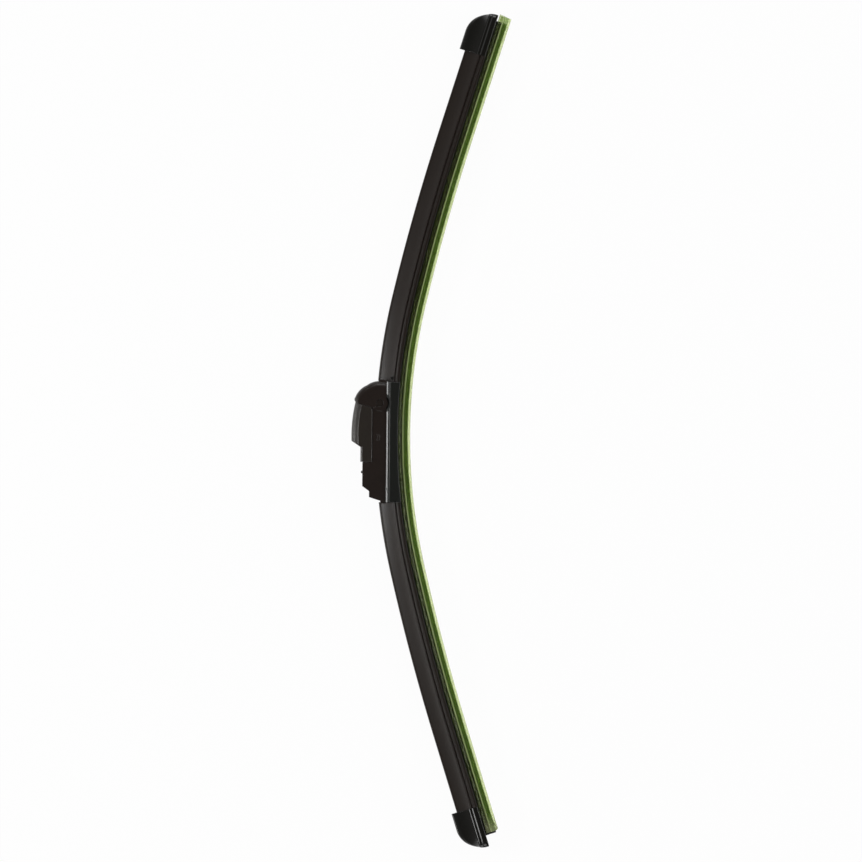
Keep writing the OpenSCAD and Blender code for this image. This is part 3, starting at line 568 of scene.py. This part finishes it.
paper = bpy.data.materials.new("white_paper_floor")
paper.use_nodes = True
tree = paper.node_tree
tree.nodes.clear()
sheet = add_node(tree, "ShaderNodeBsdfDiffuse", {"Color": srgb("#ffffff")})
glow = add_node(tree, "ShaderNodeEmission", {"Color": srgb("#ffffff"), "Strength": 1.0})
path = add_node(tree, "ShaderNodeLightPath")
seen = add_node(tree, "ShaderNodeMath", {"operation": "MAXIMUM"},
                {0: path.outputs["Is Camera Ray"], 1: path.outputs["Is Glossy Ray"]})
seen = add_node(tree, "ShaderNodeMath", {"operation": "MAXIMUM"},
                {0: seen.outputs[0], 1: path.outputs["Is Transmission Ray"]})
# A little of the lit sheet shows through the plain white, so the floor keeps the object's shadow
PLAIN_SHARE = 0.96
share = add_node(tree, "ShaderNodeMath", {"operation": "MULTIPLY", 1: PLAIN_SHARE}, {0: seen.outputs[0]})
mixed = add_node(tree, "ShaderNodeMixShader",
                 links={0: share.outputs[0], 1: sheet.outputs[0], 2: glow.outputs[0]})
add_node(tree, "ShaderNodeOutputMaterial", links={"Surface": mixed.outputs[0]})
floor_mesh.materials.append(paper)

# The photograph: 862 pixels of 0.64 mm, seen squarely from the side through a long lens.
# The pivot shows at PIVOT_PIXEL, and the whole view is turned by about half a degree.
IMAGE_SIDE = 862
PIXEL = 0.64 * MM
PIVOT_PIXEL = (380.0, 403.0)
ROLL = 0.0086
DISTANCE = 5.0
SENSOR = 36.0
across = (IMAGE_SIDE / 2 - PIVOT_PIXEL[0]) * PIXEL
down = (PIVOT_PIXEL[1] - IMAGE_SIDE / 2) * PIXEL
cos_roll, sin_roll = math.cos(ROLL), math.sin(ROLL)
aim = Vector((cos_roll * across - sin_roll * down, sin_roll * across + cos_roll * down, 0.0))

lens = bpy.data.cameras.new("long_lens")
lens.type = "PERSP"
lens.sensor_width = SENSOR
lens.lens = SENSOR * DISTANCE / (IMAGE_SIDE * PIXEL)
lens.clip_start, lens.clip_end = 0.1, 50.0
camera = bpy.data.objects.new("camera", lens)
camera.location = aim + Vector((0, 0, DISTANCE))
camera.rotation_euler = (0, 0, ROLL)
bpy.context.scene.collection.objects.link(camera)
bpy.context.scene.camera = camera


def softbox(name, place, target, width, height, power):
    """A rectangular soft light that faces a point."""
    lamp = bpy.data.lights.new(name, "AREA")
    lamp.shape = "RECTANGLE"
    lamp.size, lamp.size_y = width, height
    lamp.energy = power
    box = bpy.data.objects.new(name, lamp)
    box.location = place
    box.rotation_euler = (Vector(target) - Vector(place)).to_track_quat("-Z", "Y").to_euler()
    bpy.context.scene.collection.objects.link(box)


# A softbox for the spoilers' flanks, a low strip that only the bevels facing left mirror, and soft fills
softbox("left_softbox", (-1.0, -0.06, 0.78), (0, -0.02, 0), 0.3, 0.3, 4.5)
softbox("left_low_strip", (-1.5, -0.37, 0.11), (0, -0.37, 0), 1.36, 0.2, 5.0)
softbox("right_softbox", (1.5, 0.2, 0.95), (0, 0, 0), 0.6, 1.2, 9)
softbox("top_softbox", (0.0, 1.5, 1.5), (0, 0, 0), 0.8, 0.8, 7)
softbox("foot_softbox", (0.0, -1.5, 1.5), (0, 0, 0), 0.8, 0.8, 5)

# The studio round the floor: pale walls, and darkness behind the camera, so faces towards it stay deep black
world = bpy.data.worlds.new("studio_walls")
world.use_nodes = True
tree = world.node_tree
tree.nodes.clear()
way = add_node(tree, "ShaderNodeTexCoord").outputs["Generated"]
up = add_node(tree, "ShaderNodeSeparateXYZ", links={0: way}).outputs["Z"]
ramp = add_node(tree, "ShaderNodeValToRGB", links={"Fac": up})
stops = ((0.0, 0.55), (0.12, 0.7), (0.32, 0.26), (0.75, 0.13), (1.0, 0.08))
for number, (height, level) in enumerate(stops):
    stop = ramp.color_ramp.elements[number] if number < 2 else ramp.color_ramp.elements.new(height)
    stop.position, stop.color = height, (level, level, level, 1)
walls = add_node(tree, "ShaderNodeBackground", {"Strength": 1.0}, {"Color": ramp.outputs["Color"]})
add_node(tree, "ShaderNodeOutputWorld", links={"Surface": walls.outputs[0]})
bpy.context.scene.world = world
bpy.context.scene.view_settings.view_transform = "Standard"
